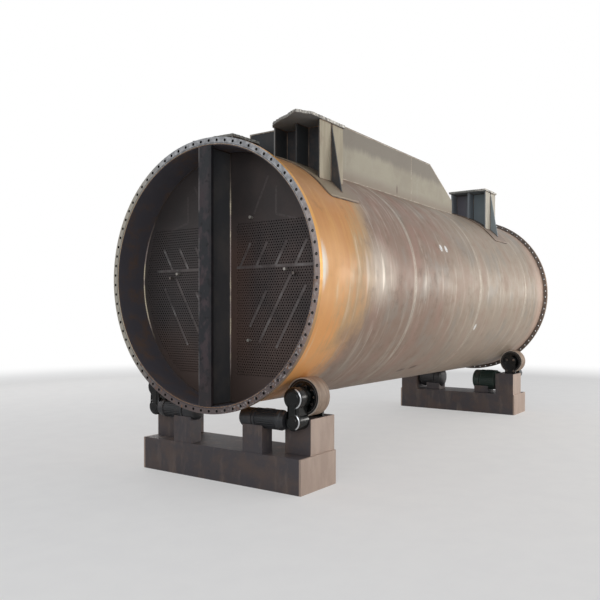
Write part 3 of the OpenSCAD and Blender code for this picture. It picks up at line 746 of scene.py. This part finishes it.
# drilled tube sheets, one half each
def sheetTree():
    tree, g, given = geometryTree("drilledSheet", {
        **sheetSize, "Side": 1.0, "Place": 0.0, "Height": 0.0, "Steel": ""})
    pitch, radius = given["Pitch"], given["Radius"]
    rowPitch = pitch * math.sqrt(0.75)
    columns, rows = (radius / pitch).floor() + 2.0, (radius * 2.0 / rowPitch).floor() + 1.0
    width, height = (columns - 1.0) * pitch, (rows - 1.0) * rowPitch
    grid = g.add("GeometryNodeMeshGrid", None, {
        "Size X": width, "Size Y": height, "Vertices X": columns, "Vertices Y": rows})
    x, y, z = g.split(g.add("GeometryNodeInputPosition"))
    row = ((y + height / 2.0) / rowPitch + 0.5).floor()
    placed = g.add("GeometryNodeSetPosition", None, {
        "Geometry": grid, "Position": g.join(x + width / 2.0 + (row % 2.0) * pitch / 2.0, y, z)})
    x, y, z = g.split(g.add("GeometryNodeInputPosition"))
    drilled = (x > given["Middle"]) * (y > given["Low"]) * (y < given["High"])
    drilled = drilled * (apart(x, y) < radius - given["Rim"])
    for lane in lanes:                                 # rows left undrilled
        drilled = drilled * (1.0 - g.nearLine(x, y, *lane, sheetLook["laneHalf"]))
    holes = g.add("GeometryNodeDeleteGeometry", {"domain": "POINT"}, {
        "Geometry": placed, "Selection": 1.0 - drilled})
    holes = g.add("GeometryNodeMeshToPoints", None, {"Mesh": holes})
    ring = g.add("GeometryNodeCurvePrimitiveCircle", {"mode": "RADIUS"}, {
        "Resolution": 8, "Radius": given["Hole"] / 2.0})
    holes = g.add("GeometryNodeInstanceOnPoints", None, {"Points": holes, "Instance": ring})
    holes = g.add("GeometryNodeRealizeInstances", None, {"Geometry": holes})
    rim = g.add("GeometryNodeCurveArc", {"mode": "RADIUS"}, {
        "Resolution": 120, "Radius": radius, "Start Angle": -math.pi / 2, "Sweep Angle": math.pi,
        "Connect Center": True})
    outline = g.add("GeometryNodeJoinGeometry", None, {"Geometry": [holes, rim]})
    face = g.add("GeometryNodeFillCurve", {"mode": "TRIANGLES"}, {"Curve": outline})
    front = g.add("GeometryNodeExtrudeMesh", {"mode": "FACES"}, {
        "Mesh": face, "Offset Scale": given["Thickness"], "Individual": False})
    back = g.add("GeometryNodeFlipFaces", None, {"Mesh": face})
    plate = g.add("GeometryNodeJoinGeometry", None, {"Geometry": [front, back]})
    plate = g.add("GeometryNodeMergeByDistance", None, {"Geometry": plate, "Distance": 0.0001})
    x, y, z = g.split(g.add("GeometryNodeInputPosition"))
    plate = g.add("GeometryNodeSetPosition", None, {
        "Geometry": plate,
        "Position": g.join(z + given["Place"], x * given["Side"], y + given["Height"])})
    closeTree(g, plate, given["Steel"])
    return tree


drilled = sheetTree()
for end in ("front", "rear"):
    for sideName, side in (("Right", -1.0), ("Left", 1.0)):
        half = bake(newObject(end + "TubeSheet" + sideName, [(0, 0, 0)]), drilled, {
            **sheetSize, "Side": side, "Place": box[end + "_tube_sheet"][0][0], "Height": axisZ,
            "Steel": tubeSheetSteel})
        keep(half, "vessel", "tube_sheet_steel", end + "_tube_sheet")
        print(half.name, len(half.data.polygons))
print("tube sheets drilled")

# weld beads
weldSize = {"girth": 0.009, "flange": 0.008, "seal": 0.005, "sheet": 0.010, "plate": 0.006, "pad": 0.007,
            "step": 0.014, "fineStep": 0.012, "ribStep": 0.016, "Ripple": 0.12, "Sides": 7}


def beadTree():
    tree, g, given = geometryTree("weldBead", {"Radius": 0.007, "Step": 0.014, "Ripple": 0.12, "Sides": 7,
                                               "Steel": ""})
    path = g.add("GeometryNodeMeshToCurve", None, {"Mesh": given["Geometry"]})
    path = g.add("GeometryNodeResampleCurve", {"mode": "LENGTH"}, {"Curve": path, "Length": given["Step"]})
    wobble = g.noise(g.add("GeometryNodeInputPosition"), 18.0, 2.0) - 0.5
    path = g.add("GeometryNodeSetPosition", None, {
        "Geometry": path, "Offset": g.join(wobble * 0.002, wobble * 0.002, wobble * 0.002)})
    index = g.add("GeometryNodeInputIndex")
    thick = 1.0 + ((index % 2.0) - 0.5) * 2.0 * given["Ripple"] + wobble * 0.5
    ring = g.add("GeometryNodeCurvePrimitiveCircle", {"mode": "RADIUS"}, {
        "Resolution": given["Sides"], "Radius": given["Radius"]})
    bead = g.add("GeometryNodeCurveToMesh", None, {
        "Curve": path, "Profile Curve": ring, "Scale": thick, "Fill Caps": True})
    bead = g.add("GeometryNodeSetShadeSmooth", None, {"Geometry": bead})
    closeTree(g, bead, given["Steel"])
    return tree


bead = beadTree()


def welds(name, runs, radius, slotName, steel, step="step"):
    verts, edges = [], []
    for run, closed in runs:
        first = len(verts)
        verts += run
        edges += [(first + i, first + i + 1) for i in range(len(run) - 1)]
        if closed:
            edges.append((first + len(run) - 1, first))
    made = bake(newObject(name, verts, edges), bead, {
        "Radius": weldSize[radius], "Step": weldSize[step], "Ripple": weldSize["Ripple"],
        "Sides": weldSize["Sides"], "Steel": steel})
    keep(made, "vessel", slotName)
    print(name, len(made.data.polygons))


def hoop(x, radius, parts=180):
    turns = [2 * math.pi * i / parts for i in range(parts)]
    return [(x, radius * math.sin(t), axisZ + radius * math.cos(t)) for t in turns], True


def straight(a, b):
    return [a, b], False


def bothSides(runs):
    return runs + [([(x, -y, z) for x, y, z in run], closed) for run, closed in runs]


def overShell(x, y0, y1, radius, parts=24):            # across the top of the shell at one station
    across = [y0 + (y1 - y0) * i / parts for i in range(parts + 1)]
    return [(x, y, surfaceZ(y, radius)) for y in across], False


welds("girthSeams", [hoop(fromFront(x), shellR - 0.0055) for x in girthSeams], "girth", "shell_plate",
      weldMetal, "fineStep")
welds("flangeWelds", [hoop(s * (endX - 0.0515), shellR + 0.0015) for s in (-1, 1)], "flange",
      "flange_steel", rustWeld)
welds("flangeSeals", [hoop(s * (endX - 0.0075), shellR - 0.0012) for s in (-1, 1)], "seal",
      "flange_steel", flangeSteel, "fineStep")
sheetFace = endX - 0.400
barBack = endX - 0.036
inside = [hoop(s * (sheetFace + 0.001), shellR - shellWall - 0.001) for s in (-1, 1)]
for s in (-1, 1):
    onSheet = s * (sheetFace + 0.001)
    for y in (-0.0115, 0.0115):
        inside.append(straight((onSheet, y, axisZ - 1.36), (onSheet, y, axisZ + 1.36)))
        for z in (axisZ - 1.3685, axisZ + 1.3685):
            inside.append(straight((s * sheetFace, y, z), (s * barBack, y, z)))
welds("waterBoxWelds", inside, "sheet", "tube_sheet_steel", darkWeld)

coverX, topZ, lowZ = box["hotwell_cover"][1][0], box["hotwell_cover"][1][2], box["hotwell_end_wall"][1][2]
endWallX, jointX = box["hotwell_end_wall"][1][0], box["hotwell_side_plates"][1][0]
sideY = box["hotwell_cover"][1][1]
footZ = surfaceZ(sideY)
inY, faceY, coverZ = sideY - 0.012, sideY - 0.003, topZ - 0.014
hotwell = bothSides([
    straight((wallX, sideY + 0.001, footZ + 0.001), (endWallX, sideY + 0.001, footZ + 0.001)),
    straight((jointX, faceY, footZ), (jointX, faceY, coverZ)),
    straight((wallX + 0.001, inY, footZ), (wallX + 0.001, inY, coverZ)),
    straight((endWallX - 0.001, inY, footZ), (endWallX - 0.001, inY, lowZ - 0.014)),
    ([(wallX, faceY, topZ - 0.013), (coverX, faceY, topZ - 0.0135), (endWallX, faceY, lowZ - 0.002)], False)])
hotwell += [
    overShell(wallX - 0.001, -sideY, sideY, shellR + 0.001),
    overShell(endWallX + 0.001, -sideY, sideY, shellR + 0.001),
    straight((coverX, -sideY + 0.01, topZ - 0.008), (coverX, sideY - 0.01, topZ - 0.008)),
    straight((wallX + 0.001, -inY, topZ - 0.013), (wallX + 0.001, inY, topZ - 0.013))]
welds("hotwellWelds", hotwell, "plate", "hotwell_plate", weldMetal)

footSize = {"webFace": 0.010, "ribEnd": 0.239, "ribs": (0.302, 0.600, 0.898), "ribFaces": (-0.001, 0.019),
            "inner": 0.290, "webOuter": 1.050, "plateOuter": 0.93}
padSize = {"halfLength": 0.339, "inner": 0.235, "outer": 1.105, "corner": 0.07, "thickness": 0.0162}
padR = shellR + padSize["thickness"]
plateZ = box["foot_webs"][1][2]
underZ = plateZ - 0.001


def footRuns(webX, s):                                 # beads on one face of a web and on its ribs
    face, tip = webX + s * footSize["webFace"], webX + s * footSize["ribEnd"]
    inner = footSize["inner"]
    runs = [overShell(face, inner, footSize["webOuter"], padR + 0.001, 14),
            straight((face, inner, underZ), (face, footSize["plateOuter"], underZ))]
    for ribY in footSize["ribs"]:
        for e in footSize["ribFaces"]:
            y = ribY + e
            z = surfaceZ(y, padR) + 0.001
            runs += [straight((face, y, z), (tip, y, z)), straight((face, y, underZ), (tip, y, underZ)),
                     straight((face, y, z), (face, y, plateZ))]
    return runs


def padRun(webX):                                      # round a pad, in short steps where it bends
    halfLength, r = padSize["halfLength"], padSize["corner"]
    far, near = padSize["outer"] - r, padSize["inner"] + r
    corners = []
    for cx, cy, start in ((halfLength - r, far, 0), (r - halfLength, far, 90),
                          (r - halfLength, near, 180), (halfLength - r, near, 270)):
        for turn in range(start, start + 91, 15):
            corners.append((cx + r * math.cos(math.radians(turn)), cy + r * math.sin(math.radians(turn))))
    around = []
    for (px, py), (qx, qy) in zip(corners, corners[1:] + corners[:1]):
        parts = 12 if math.dist((px, py), (qx, qy)) > 0.1 else 1
        for k in range(parts):
            y = py + (qy - py) * k / parts
            around.append((webX + px + (qx - px) * k / parts, y, surfaceZ(y, shellR + 0.003)))
    return around, True


footWelds = [run for webX in footX.values() for s in (-1, 1) for run in footRuns(webX, s)]
welds("footWelds", bothSides(footWelds), "plate", "foot_plate", rustWeld, "ribStep")
welds("padWelds", bothSides([padRun(webX) for webX in footX.values()]), "pad", "foot_plate", rustWeld)
print("welds laid")

# torch-cut base plates; corners are from the web, and the edges from raggedFrom on are cut by hand
plateLook = {"rough": 0.0016, "ragged": 0.008, "step": 0.018, "seed": 11}
chance = random.Random(plateLook["seed"])


def cutPlates(name, webX, outlines, raggedFrom, node):
    low, high = box[node][0][2], box[node][1][2]
    rough = plateLook["rough"]
    made = bmesh.new()
    for side, outline in zip((-1, 1), outlines):
        ring = []
        for i, (ax, ay) in enumerate(outline):
            bx, by = outline[(i + 1) % len(outline)]
            run = math.dist((ax, ay), (bx, by))
            count = max(1, round(run / plateLook["step"]))
            nx, ny = (by - ay) / run, -(bx - ax) / run
            swell = plateLook["ragged"] if i >= raggedFrom else rough * 1.5
            wave = 0.0
            for k in range(count):
                wave = wave * 0.6 + chance.uniform(-1, 1) * swell
                at = k / count
                shift = wave if 0 < k < count else 0.0
                ring.append((webX + ax + (bx - ax) * at + nx * shift, ay + (by - ay) * at + ny * shift))
        levels = []
        for part in range(4):
            z = low + (high - low) * part / 3
            levels.append([made.verts.new((x + chance.uniform(-1, 1) * rough,
                                           side * (y + chance.uniform(-1, 1) * rough), z)) for x, y in ring])
        for lower, upper in zip(levels, levels[1:]):
            for i in range(len(ring)):
                j = (i + 1) % len(ring)
                made.faces.new((lower[i], lower[j], upper[j], upper[i])).material_index = 1
        made.faces.new(levels[0])
        made.faces.new(levels[-1])
    bmesh.ops.triangulate(made, faces=[f for f in made.faces if len(f.verts) > 4])
    bmesh.ops.recalc_face_normals(made, faces=made.faces)
    obj = newObject(name, [], material=basePlate)
    obj.data.materials.append(torchCut)
    made.to_mesh(obj.data)
    made.free()
    keep(obj, "vessel", "foot_plate", node)


def plainPlate(reach):
    return [(0.251, 0.290), (0.251, 0.938), (-reach, 0.938), (-reach, 0.290)]


tongued = [(0.251, 0.290), (0.251, 0.938), (-0.414, 0.938), (-0.587, 0.840), (-0.356, 0.400),
           (-0.251, 0.290)]
cutPlates("frontBasePlates", footX["front"], (tongued, plainPlate(0.251)), 2, "front_base_plates")
cutPlates("rearBasePlates", footX["rear"], (plainPlate(0.309), plainPlate(0.309)), 9, "rear_base_plates")
print("base plates cut")


# turned shapes; profile is (along, radius), closed on the axis
def lathe(made, profile, centre, axis, parts=48):
    turns = [2 * math.pi * i / parts for i in range(parts)]
    rings = []
    for along, radius in profile:
        ring = []
        for t in turns if radius else turns[:1]:
            a, b = radius * math.sin(t), radius * math.cos(t)
            spot = (along, b, a) if axis == "x" else (a, along, b)
            ring.append(made.verts.new(Vector(centre) + Vector(spot)))
        rings.append(ring)
    for one, two in zip(rings, rings[1:]):
        for i in range(parts):
            j = (i + 1) % parts
            if len(one) == 1 and len(two) > 1:
                made.faces.new((one[0], two[j], two[i]))
            elif len(two) == 1 and len(one) > 1:
                made.faces.new((one[i], one[j], two[0]))
            elif len(one) > 1:
                made.faces.new((one[i], one[j], two[j], two[i]))


def solidFrom(name, made, material, slotName, replaced, sharp=35):
    bmesh.ops.recalc_face_normals(made, faces=made.faces)
    obj = newObject(name, [], material=material)
    made.to_mesh(obj.data)
    made.free()
    obj.data.shade_smooth()
    obj.data.set_sharp_from_angle(angle=math.radians(sharp))
    keep(obj, "roll_stand", slotName, replaced)


def rowFrame(row):                                     # wheel centre and the way its gear case points
    return *middleOf("tyre_" + row + "_left"), -1 if row == "front" else 1


# gear cases: two round heads in one, with a well rounded front rim
def headOutline(shrink, drop, parts=28):
    upper, lower, waist = [gearLook[size] - shrink for size in ("upper", "lower", "waist")]
    ring = []
    for head, rise, start, narrow in ((upper, 0.0, -math.pi / 2, math.asin(waist / upper)),
                                      (lower, drop, math.pi / 2, math.asin(waist / lower))):
        for i in range(parts + 1):                     # from one side of the waist round to the other
            t = start + narrow + (2 * math.pi - 2 * narrow) * i / parts
            ring.append((head * math.cos(t), -rise + head * math.sin(t)))
    return ring


for row in ("front", "rear"):
    wheelX, wheelY, wheelZ, way = rowFrame(row)
    low, high = box[row + "_gear_cases"]
    back = wheelX + way * 0.120
    depth = high[0] - low[0]
    drop = wheelZ - (low[2] + gearLook["lower"])
    rounding, cover = gearLook["round"], gearLook["cover"]
    made = bmesh.new()
    for side in (-1, 1):
        steps = [(0.0, 0.004), (0.004, 0.0), (depth - rounding, 0.0)]
        for a in (20, 40, 60, 78, 90):
            steps.append((depth - rounding * (1 - math.sin(math.radians(a))),
                          rounding * (1 - math.cos(math.radians(a)))))
        rings = [[made.verts.new((back + way * out, side * wheelY + y, wheelZ + z))
                  for y, z in headOutline(shrink, drop)] for out, shrink in steps]
        for one, two in zip(rings, rings[1:]):
            for i in range(len(one)):
                j = (i + 1) % len(one)
                made.faces.new((one[i], one[j], two[j], two[i]))
        made.faces.new(rings[0])
        made.faces.new(rings[-1])
        face = back + way * (depth - 0.004)
        for head, at in ((gearLook["upper"], wheelZ), (gearLook["lower"], wheelZ - drop)):
            r = head - gearLook["coverIn"]
            profile = [(0, 0), (0, r), (way * (cover + 0.001), r), (way * (cover + 0.004), r - 0.004),
                       (way * (cover + 0.004), 0)]
            lathe(made, profile, (face, side * wheelY, at), "x", 40)
    bmesh.ops.triangulate(made, faces=[f for f in made.faces if len(f.verts) > 4])
    solidFrom(row + "GearHousings", made, gearPaint, "black_paint", row + "_gear_cases", sharp=28)
print("gear cases made")

# motors: ribbed barrel, end bells and a domed fan cover at the free end
motorLook = {"fins": {"front": 26, "rear": 34}, "finDepth": 0.010, "finThick": 0.004}


def finTree():
    tree, g, given = geometryTree("coolingFins", {
        "Fins": 24, "Radius": 0.1, "Depth": 0.01, "Thick": 0.004, "Length": 0.3,
        "Centre": (0.0, 0.0, 0.0), "Steel": ""})
    ring = g.add("GeometryNodeMeshCircle", None, {
        "Vertices": given["Fins"], "Radius": given["Radius"] - given["Depth"] / 2.0})
    x, y, z = g.split(g.add("GeometryNodeInputPosition"))
    turn = g.add("FunctionNodeAlignRotationToVector", {"axis": "X"}, {"Vector": g.join(x, y, z)})
    fin = g.add("GeometryNodeMeshCube", None, {
        "Size": g.join(given["Depth"], given["Thick"], given["Length"])})
    fins = g.add("GeometryNodeInstanceOnPoints", None, {"Points": ring, "Instance": fin, "Rotation": turn})
    fins = g.add("GeometryNodeRealizeInstances", None, {"Geometry": fins})
    x, y, z = g.split(g.add("GeometryNodeInputPosition"))
    centre = g.split(given["Centre"])
    fins = g.add("GeometryNodeSetPosition", None, {
        "Geometry": fins, "Position": g.join(x + centre[0], z + centre[1], y + centre[2])})
    closeTree(g, fins, given["Steel"])
    return tree


fins = finTree()
for row in ("front", "rear"):
    low, high = box[row + "_motors"]
    radius, atX, atZ = (high[2] - low[2]) / 2, (low[0] + high[0]) / 2, (low[2] + high[2]) / 2
    ys = sorted({round(v.co[1], 4) for v in nodes[row + "_motors"].data.vertices if v.co[1] > 0})
    inner, length = ys[0], ys[-1] - ys[0]
    barrel = radius - motorLook["finDepth"]
    shape = [(0.0, 0.0)]
    for a in (20, 38, 54, 68, 80, 90):
        dome = radius * 0.34 * (1 - math.cos(math.radians(a)))
        shape.append((dome, radius * 0.97 * math.sin(math.radians(a))))
    shape += [(length * at, r) for at, r in (
        (0.30, radius * 0.97), (0.305, radius * 0.90), (0.33, radius * 0.90), (0.335, radius),
        (0.375, radius), (0.38, barrel), (0.84, barrel), (0.845, radius), (0.90, radius),
        (0.92, radius * 0.90), (1.0, radius * 0.86), (1.0, 0.0))]
    made = bmesh.new()
    for side in (-1, 1):
        lathe(made, [(side * a, r) for a, r in shape], (atX, side * inner, atZ), "y")
        boxAt = Matrix.Translation((atX, side * (inner + length * 0.60), atZ + radius * 0.93))
        boxSize = Matrix.Diagonal((radius * 0.62, length * 0.20, radius * 0.13, 1))
        bmesh.ops.create_cube(made, size=1.0, matrix=boxAt @ boxSize)
    solidFrom(row + "MotorBodies", made, motorPaint, "motor_paint", row + "_motors")
    for side, sideName in ((-1, "Right"), (1, "Left")):
        ribs = bake(newObject(row + "MotorFins" + sideName, [(0, 0, 0)]), fins, {
            "Fins": motorLook["fins"][row], "Radius": radius - 0.001, "Depth": motorLook["finDepth"],
            "Thick": motorLook["finThick"], "Length": length * 0.46,
            "Centre": (atX, side * (inner + length * 0.61), atZ), "Steel": motorPaint})
        keep(ribs, "roll_stand", "motor_paint")
print("motors made")

# bolts of the bearing plates and of the wheel hubs; places are from the wheel's centre
boltLook = {"bearing": 0.024, "bearingAt": ((-0.065, -0.17), (0.065, -0.17), (-0.062, 0.028), (0.062, 0.028)),
            "plate": 0.150, "hub": 0.019, "hubRing": 0.104, "hubFace": 0.0495}


def boltTree():
    tree, g, given = geometryTree("hexBolts", {
        "Across": 0.024, "Head": 0.013, "Axis": (0.0, 0.0, 1.0), "Steel": ""})
    points = g.add("GeometryNodeMeshToPoints", None, {"Mesh": given["Geometry"]})
    head = g.add("GeometryNodeMeshCylinder", None, {
        "Vertices": 6, "Radius": given["Across"] * 0.577, "Depth": given["Head"]})
    head = g.add("GeometryNodeTransform", None, {
        "Geometry": head, "Translation": g.join(0.0, 0.0, given["Head"] * 0.5 + 0.002)})
    washer = g.add("GeometryNodeMeshCylinder", None, {
        "Vertices": 14, "Radius": given["Across"] * 0.85, "Depth": 0.004})
    both = g.add("GeometryNodeJoinGeometry", None, {"Geometry": [head, washer]})
    turn = g.add("FunctionNodeAlignRotationToVector", {"axis": "Z"}, {"Vector": given["Axis"]})
    bolts = g.add("GeometryNodeInstanceOnPoints", None, {
        "Points": points, "Instance": both, "Rotation": turn})
    closeTree(g, bolts, given["Steel"])
    return tree


hexBolts = boltTree()


def bolts(name, points, way, across, body):
    made = bake(newObject(name, points), hexBolts, {
        "Across": across, "Head": across * 0.6, "Axis": (float(way), 0.0, 0.0), "Steel": boltSteel})
    keep(made, body, "black_paint")


for row in ("front", "rear"):
    wheelX, wheelY, wheelZ, way = rowFrame(row)
    plate = wheelX - way * boltLook["plate"]
    face, ring = wheelX + way * boltLook["hubFace"], boltLook["hubRing"]
    bolts(row + "BearingBolts", [(plate, side * wheelY + y, wheelZ + z) for side in (-1, 1)
                                 for y, z in boltLook["bearingAt"]], -way, boltLook["bearing"], "roll_stand")
    for side, sideName in ((-1, "right"), (1, "left")):
        points = [(face, side * wheelY + ring * math.cos(math.radians(a)),
                   wheelZ + ring * math.sin(math.radians(a))) for a in range(0, 360, 45)]
        bolts(row + "Hub" + sideName.title() + "Bolts", points, way, boltLook["hub"],
              row + "_" + sideName + "_roll")
print("bolts set")

# stage
stageLook = {"floor": [(0.80, 0.79, 0.77), (0.77, 0.76, 0.745)], "half": 60, "paler": 0.35,
             "fades": (7.5, 17.0), "world": 0.42, "worldColour": (0.93, 0.95, 1.0), "gloss": 0.5}


def paintFloor(g, place):
    grain = g.noise(place, 3.0, 3.0)
    return g.mix(g.step(grain, 0.3, 0.7), *stageLook["floor"]), 0.75 + grain * 0.1, 0.0, None, 0.0, 0.0


floorFinish = finish("floorFinish", paintFloor)
tree = floorFinish.node_tree
g = Graph(tree)
surface = next(n for n in tree.nodes if n.type == "OUTPUT_MATERIAL")
painted = Wire(g, surface.inputs["Surface"].links[0].from_socket)
x, y, z = g.split(g.add("ShaderNodeTexCoord", out="Object"))
far = g.step(apart(x, y), *stageLook["fades"])         # the floor fades into the white background
seen = g.add("ShaderNodeLightPath", out="Is Camera Ray")
glow = g.add("ShaderNodeEmission", None, {"Color": (1.0, 1.0, 1.0), "Strength": 1.0})
blended = g.add("ShaderNodeMixShader", None, {0: far.atLeast(stageLook["paler"]) * seen, 1: painted, 2: glow})
tree.links.new(blended.socket, surface.inputs["Surface"])
half = stageLook["half"]
floor = newObject("studioFloor", [(-half, -half, 0), (half, -half, 0), (half, half, 0), (-half, half, 0)],
                  faces=[(0, 1, 2, 3)], material=floorFinish)

world = bpy.data.worlds.new("studioWorld")
bpy.context.scene.world = world
world.use_nodes = True
world.node_tree.nodes.clear()
g = Graph(world.node_tree)
path = g.add("ShaderNodeLightPath").socket.node
camera, glossy, through = [Wire(g, path.outputs[name]) for name in
                           ("Is Camera Ray", "Is Glossy Ray", "Is Transmission Ray")]
seen = camera.atLeast(glossy * stageLook["gloss"]).atLeast(through)
light = g.add("ShaderNodeBackground", None, {
    "Color": stageLook["worldColour"], "Strength": stageLook["world"]})
white = g.add("ShaderNodeBackground", None, {"Color": (1.0, 1.0, 1.0), "Strength": 1.0})
mixed = g.add("ShaderNodeMixShader", None, {0: seen, 1: light, 2: white})
g.add("ShaderNodeOutputWorld", None, {"Surface": mixed})

# place, target, width, height, power and colour
lamps = {"windowLight": ((13.0, -10.0, 3.2), (-0.5, -1.2, 2.3), 7.5, 3.0, 350.0, (1.0, 0.98, 0.94)),
         "sideLight": ((3.0, -10.0, 3.0), (1.5, 0.0, 2.3), 11.0, 3.0, 400.0, (1.0, 0.97, 0.93)),
         "backFill": ((0.5, 12.0, 5.0), (0.0, 0.0, 2.3), 12.0, 3.0, 260.0, (1.0, 0.98, 0.96)),
         "frontFill": ((-12.0, -5.0, 4.5), (-3.5, 0.0, 2.2), 4.0, 4.0, 150.0, (0.92, 0.96, 1.0))}
for name, (place, target, width, height, power, colour) in lamps.items():
    lamp = bpy.data.lights.new(name, "AREA")
    lamp.shape = "RECTANGLE"
    lamp.size, lamp.size_y, lamp.energy, lamp.color = width, height, power, colour
    obj = bpy.data.objects.new(name, lamp)
    obj.location = place
    obj.visible_camera = False
    obj.rotation_euler = (Vector(target) - Vector(place)).to_track_quat("-Z", "Y").to_euler()
    bpy.context.scene.collection.objects.link(obj)

# camera at the photograph's angle
cameraLook = {"place": (-9.125, -4.900, 1.777), "azimuth": -55.0, "elevation": 0.70, "roll": 0.08,
              "lens": 40.51, "shiftY": 0.0400}
lens = bpy.data.cameras.new("photoCamera")
lens.lens, lens.sensor_width, lens.shift_y = cameraLook["lens"], 36.0, cameraLook["shiftY"]
lens.clip_end = 200.0
camera = bpy.data.objects.new("photoCamera", lens)
turn, tilt = math.radians(cameraLook["azimuth"]), math.radians(cameraLook["elevation"])
right = Vector((math.cos(turn), math.sin(turn), 0.0))
back = Vector((math.sin(turn) * math.cos(tilt), -math.cos(turn) * math.cos(tilt), math.sin(tilt)))
up = back.cross(right)
roll = Matrix.Rotation(math.radians(cameraLook["roll"]), 3, back)
axes = Matrix([roll @ right, roll @ up, back]).transposed()
camera.matrix_world = Matrix.Translation(cameraLook["place"]) @ axes.to_4x4()
bpy.context.scene.collection.objects.link(camera)
bpy.context.scene.camera = camera
bpy.context.scene.view_settings.view_transform = "Standard"
print("stage set")
